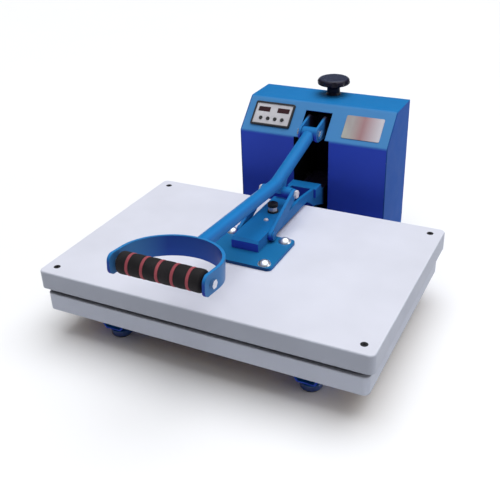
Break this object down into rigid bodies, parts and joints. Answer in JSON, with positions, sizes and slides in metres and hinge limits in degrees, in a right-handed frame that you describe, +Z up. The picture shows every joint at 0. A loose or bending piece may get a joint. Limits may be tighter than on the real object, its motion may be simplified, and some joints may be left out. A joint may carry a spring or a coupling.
{
  "type": "heat press",
  "caption": "Clamshell heat press with a flat platen, cranked lever with a D-shaped foam grip, toggle links, pressure knob and a tower with controls.",
  "frame": {"origin": "on the floor under the middle of the closed machine's overall box", "axes": "+X to the machine's right seen from the handle, +Y from the handle towards the tower, +Z up"},
  "size_m": [0.62, 0.7587, 0.3385],
  "materials": {
    "blue_paint": "smooth semi-gloss powder coat",
    "grey_paint": "smooth satin powder coat, pale grey",
    "black_metal": "black oxide and black paint",
    "bright_steel": "bright zinc-plated steel",
    "steel": "plain machined steel",
    "bronze": "sintered bronze",
    "coated_plate": "aluminium with dark non-stick coating",
    "heat_sink": "plain extruded aluminium",
    "silicone": "dark grey silicone sponge",
    "rubber": "black rubber",
    "foam": "black foam",
    "ring_red": "dark red foam rings",
    "knob_black": "black moulded plastic",
    "panel_black": "black moulded frame",
    "panel_white": "off-white printed membrane",
    "display": "very dark red display window",
    "button_black": "black buttons",
    "label_metal": "satin metal plate",
    "wool": "mineral wool board",
    "board": "dense fibre board",
    "inlet_black": "black moulded plastic",
    "terminal_white": "natural nylon",
    "rocker_red": "red rocker"
  },
  "bodies": {
    "frame": {"base_rails": "blue_paint", "cross_bars": "blue_paint", "base_plate": "blue_paint", "rubber_feet": "rubber", "foot_studs": "bright_steel", "table_core": "board", "table_skin": "grey_paint", "silicone_pad": "silicone", "uprights": "black_metal", "top_bridge": "black_metal", "pivot_shaft": "steel", "housing_wrap": "blue_paint", "housing_sides": "blue_paint", "rear_cover": "blue_paint", "rear_screws": "bright_steel", "control_bezel": "panel_black", "control_face": "panel_white", "displays": "display", "controller_case": "inlet_black", "label_plate": "label_metal", "power_relay": "heat_sink", "terminal_block": "terminal_white", "mains_inlet": "inlet_black", "switch_case": "inlet_black"},
    "press_arm": {"platen_cover": "grey_paint", "corner_posts": "steel", "cover_screws": "black_metal", "heating_plate": "coated_plate", "heating_element": "steel", "insulation": "wool", "pressure_spacers": "steel", "mount_plate": "blue_paint", "dome_bolts": "bright_steel", "arm_sides": "blue_paint", "arm_top_plate": "blue_paint", "arm_rear_block": "blue_paint", "arm_bushes": "bronze", "link_pins": "blue_paint", "stop_rubber": "rubber", "stop_bolt": "bright_steel"},
    "left_link": {"link_left": "blue_paint", "knee_bolt_left": "bright_steel"},
    "right_link": {"link_right": "blue_paint", "knee_bolt_right": "bright_steel"},
    "pressure_fork": {"fork": "blue_paint", "lever_bolt": "bright_steel"},
    "lever": {"lever_tube": "blue_paint", "knee_lug": "blue_paint", "handle_strip": "blue_paint", "grip_rod": "steel", "grip_bolts": "bright_steel", "foam_grip": "foam", "grip_rings": "ring_red"},
    "pressure_knob": {"knob": "knob_black", "pressure_screw": "steel"},
    "button_body_1": {"button_1": "button_black"},
    "button_body_2": {"button_2": "button_black"},
    "button_body_3": {"button_3": "button_black"},
    "button_body_4": {"button_4": "button_black"},
    "switch_rocker": {"rocker": "rocker_red"}
  },
  "joints": [
    {"name": "platen_hinge", "type": "hinge", "parent": "frame", "child": "press_arm", "pos_m": [0, 0.3024, 0.112], "axis": [-1, 0, 0], "range_deg": [0, 30]},
    {"name": "lever_pivot", "type": "hinge", "parent": "pressure_fork", "child": "lever", "pos_m": [0, 0.2124, 0.258], "axis": [-1, 0, 0], "range_deg": [0, 73.8]},
    {"name": "left_link_pivot", "type": "hinge", "parent": "press_arm", "child": "left_link", "pos_m": [-0.0315, -0.0466, 0.155], "axis": [1, 0, 0], "range_deg": [0, 46.6]},
    {"name": "right_link_pivot", "type": "hinge", "parent": "press_arm", "child": "right_link", "pos_m": [0.0315, -0.0466, 0.155], "axis": [1, 0, 0], "range_deg": [0, 46.6]},
    {"name": "pressure_knob_turn", "type": "hinge", "parent": "frame", "child": "pressure_knob", "pos_m": [0, 0.3444, 0.32], "axis": [0, 0, -1], "range_deg": [0, 540.1]},
    {"name": "fork_slide", "type": "slide", "parent": "frame", "child": "pressure_fork", "axis": [0, 0, 1], "range_m": [0, 0.006]},
    {"name": "button_press_1", "type": "slide", "parent": "frame", "child": "button_body_1", "axis": [0, 0.6922, -0.7217], "range_m": [0, 0.001], "stiffness_N_per_m": 400, "springref_m": -0.0005},
    {"name": "button_press_2", "type": "slide", "parent": "frame", "child": "button_body_2", "axis": [0, 0.6922, -0.7217], "range_m": [0, 0.001], "stiffness_N_per_m": 400, "springref_m": -0.0005},
    {"name": "button_press_3", "type": "slide", "parent": "frame", "child": "button_body_3", "axis": [0, 0.6922, -0.7217], "range_m": [0, 0.001], "stiffness_N_per_m": 400, "springref_m": -0.0005},
    {"name": "button_press_4", "type": "slide", "parent": "frame", "child": "button_body_4", "axis": [0, 0.6922, -0.7217], "range_m": [0, 0.001], "stiffness_N_per_m": 400, "springref_m": -0.0005},
    {"name": "switch_rock", "type": "hinge", "parent": "frame", "child": "switch_rocker", "pos_m": [0.075, 0.3594, 0.06], "axis": [1, 0, 0], "range_deg": [0, 12]}
  ],
  "couplings": [
    {"joint": "lever_pivot", "follows": "platen_hinge", "ratio": 2.4591},
    {"joint": "left_link_pivot", "follows": "platen_hinge", "ratio": 1.5517},
    {"joint": "right_link_pivot", "follows": "platen_hinge", "ratio": 1.5517},
    {"joint": "pressure_knob_turn", "follows": "fork_slide", "rad_per_m": 1570.8}
  ]
}
